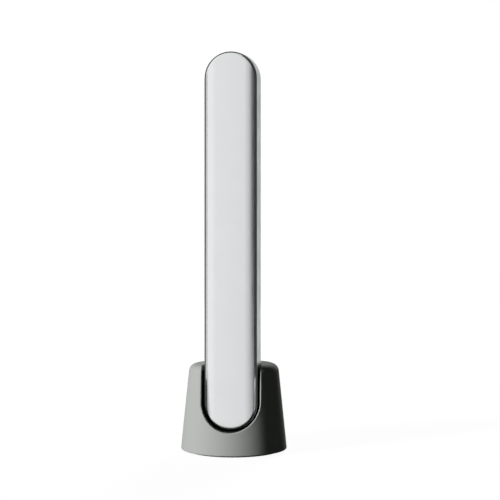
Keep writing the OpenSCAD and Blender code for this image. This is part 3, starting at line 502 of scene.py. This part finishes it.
def lamp(name, turn, lift, distance, size, level):
    """Soft box, lift degrees over the floor, that shows a colour at level times the written one."""
    data = bpy.data.lights.new(name, "AREA")
    data.shape = "RECTANGLE"
    data.size, data.size_y = size
    data.energy = level * math.pi ** 2 * distance ** 2
    item = bpy.data.objects.new(name, data)
    bpy.context.scene.collection.objects.link(item)
    t, e = math.radians(turn), math.radians(lift)
    toward = Vector((math.sin(t) * math.cos(e), -math.cos(t) * math.cos(e), math.sin(e)))
    item.location = LAMP_AIM + distance * toward
    item.rotation_euler = (LAMP_AIM - item.location).to_track_quat("-Z", "Y").to_euler()
    item.visible_camera = False
    item.visible_glossy = False


lamp("key", turn=-51, lift=15, distance=1.3, size=(0.25, 0.4), level=1.18)
lamp("back_light", turn=167, lift=16, distance=1.4, size=(0.45, 0.5), level=0.95)

# ---------------------------------------------------------------- world
# The faint fill light, and the side on which reflections of the white surroundings are dimmer:
# its turn, the cosines from it at which this starts and is full, and the level there
FILL, FILL_COLOR = 0.007, (0.62, 1, 0.55, 1)
SIDE_TURN, SIDE_EDGE, SIDE_CORE, SIDE_LEVEL = 62, 0.26, 0.94, 0.8


def shown_to_eye(tree):
    """1 for camera, mirror and transmission rays, else 0."""
    path = add_node(tree, "LightPath")
    seen = either(tree, path.outputs["Is Camera Ray"], path.outputs["Is Glossy Ray"])
    return either(tree, seen, path.outputs["Is Transmission Ray"])


def side_level(tree, vector):
    """Level of the white surroundings: 1 to the camera, and in reflections less on that side."""
    dim = span(tree, facing(tree, vector, SIDE_TURN), SIDE_EDGE, SIDE_CORE, 1.0, SIDE_LEVEL,
               kind="SMOOTHSTEP")
    return either(tree, dim, add_node(tree, "LightPath").outputs["Is Camera Ray"])


world = bpy.data.worlds.new("studio")
bpy.context.scene.world = world
tree = new_tree(world)
heading = add_node(tree, "TexCoord").outputs["Generated"]
sky = add_node(tree, "Background", {"Color": WHITE, "Strength": side_level(tree, heading)})
fill = add_node(tree, "Background", {"Color": FILL_COLOR, "Strength": FILL})
add_node(tree, "OutputWorld", {0: shader_mix(tree, shown_to_eye(tree), fill, sky)})

# ---------------------------------------------------------------- floor and cards
# The floor lies just under the object. From NEAR to FAR its white goes from NEAR_LEVEL to 1
FLOOR_REACH, FLOOR_Z, FLOOR_COLOR = 4.0, -0.0002, (0.08, 0.08, 0.08, 1)
NEAR, FAR, NEAR_LEVEL = 0.15, 0.6, 0.95
CARD_COLOR, CARD_STEPS, CARD_R = (0.65, 1, 0.9, 1), 16, 0.3


def new_stage(name, points, faces, mat):
    mesh = bpy.data.meshes.new(name)
    mesh.from_pydata(points, [], faces)
    mesh.materials.append(mat)
    item = bpy.data.objects.new(name, mesh)
    bpy.context.scene.collection.objects.link(item)
    return item


def floor_white():
    """Paper that takes the object's shadow, and shows white."""
    mat = bpy.data.materials.new("floor_white")
    tree = new_tree(mat)
    where = add_node(tree, "TexCoord").outputs["Object"]
    reach = add_node(tree, "VectorMath", {0: where}, operation="LENGTH").outputs["Value"]
    heading = add_node(tree, "VectorMath", {0: where}, operation="NORMALIZE").outputs[0]
    ease = span(tree, reach, NEAR, FAR, NEAR_LEVEL, 1.0)
    pair = {0: ease, 1: side_level(tree, heading)}
    level = add_node(tree, "Math", pair, operation="MULTIPLY").outputs[0]
    paper = add_node(tree, "BsdfDiffuse", {"Color": FLOOR_COLOR})
    glow = add_node(tree, "Emission", {"Color": WHITE, "Strength": level})
    both = add_node(tree, "AddShader", {0: glow.outputs[0], 1: paper.outputs[0]})
    add_node(tree, "OutputMaterial", {0: shader_mix(tree, shown_to_eye(tree), paper, both)})
    return mat


def card_felt(name, turn, half, soft, level):
    """Dark at the card's middle, and clear over its last soft degrees on each side."""
    mat = bpy.data.materials.new(name)
    tree = new_tree(mat)
    where = add_node(tree, "TexCoord").outputs["Object"]
    flat = add_node(tree, "VectorMath", {0: where, 1: (1, 1, 0)}, operation="MULTIPLY").outputs[0]
    heading = add_node(tree, "VectorMath", {0: flat}, operation="NORMALIZE").outputs[0]
    low, high = math.cos(math.radians(half)), math.cos(math.radians(half - soft))
    edge = span(tree, facing(tree, heading, turn), low, high, kind="SMOOTHSTEP")
    clear = add_node(tree, "BsdfTransparent")
    dark = add_node(tree, "Emission", {"Color": CARD_COLOR, "Strength": level})
    add_node(tree, "OutputMaterial", {0: shader_mix(tree, edge, clear, dark)})
    return mat


def card(name, turn, half, soft, level, height):
    """Dark curved card that stands on the floor, half degrees to each side of turn, and shows
    only in reflections."""
    angles = [math.radians(turn - half + 2 * half * i / CARD_STEPS) for i in range(CARD_STEPS + 1)]
    points = [(CARD_R * math.sin(t), -CARD_R * math.cos(t), z) for t in angles for z in (0, height)]
    faces = [(2 * i, 2 * i + 2, 2 * i + 3, 2 * i + 1) for i in range(CARD_STEPS)]
    item = new_stage(name, points, faces, card_felt(name + "_felt", turn, half, soft, level))
    for kind in ("camera", "diffuse", "transmission", "volume_scatter", "shadow"):
        setattr(item, "visible_" + kind, False)


corners = [(x * FLOOR_REACH, y * FLOOR_REACH, 0) for x, y in ((-1, -1), (1, -1), (1, 1), (-1, 1))]
floor = new_stage("floor", corners, [(0, 1, 2, 3)], floor_white())
floor.location.z = FLOOR_Z
card("card_right", turn=108.5, half=38, soft=20, level=0.05, height=0.9)
card("card_left", turn=-170, half=10, soft=5, level=0.5, height=0.45)

# ---------------------------------------------------------------- camera
# It stands TURN to the right of the front, SIDE off the line through the stand's middle, and
# looks level
TURN, AWAY, SIDE, HEIGHT = math.radians(4.5), 0.5227, 0.00712, 0.0884
FOCAL_PX, PHOTO_PX, SENSOR_MM = 1179, 500, 36

data = bpy.data.cameras.new("camera")
data.sensor_width = SENSOR_MM
data.lens = FOCAL_PX / PHOTO_PX * SENSOR_MM
data.clip_start, data.clip_end = 0.01, 50
camera = bpy.data.objects.new("camera", data)
bpy.context.scene.collection.objects.link(camera)
camera.location = (AWAY * math.sin(TURN) + SIDE * math.cos(TURN),
                   SIDE * math.sin(TURN) - AWAY * math.cos(TURN), HEIGHT)
camera.rotation_euler = (math.radians(90), 0, TURN)
bpy.context.scene.camera = camera

settings = bpy.context.scene.view_settings
settings.view_transform = "Standard"
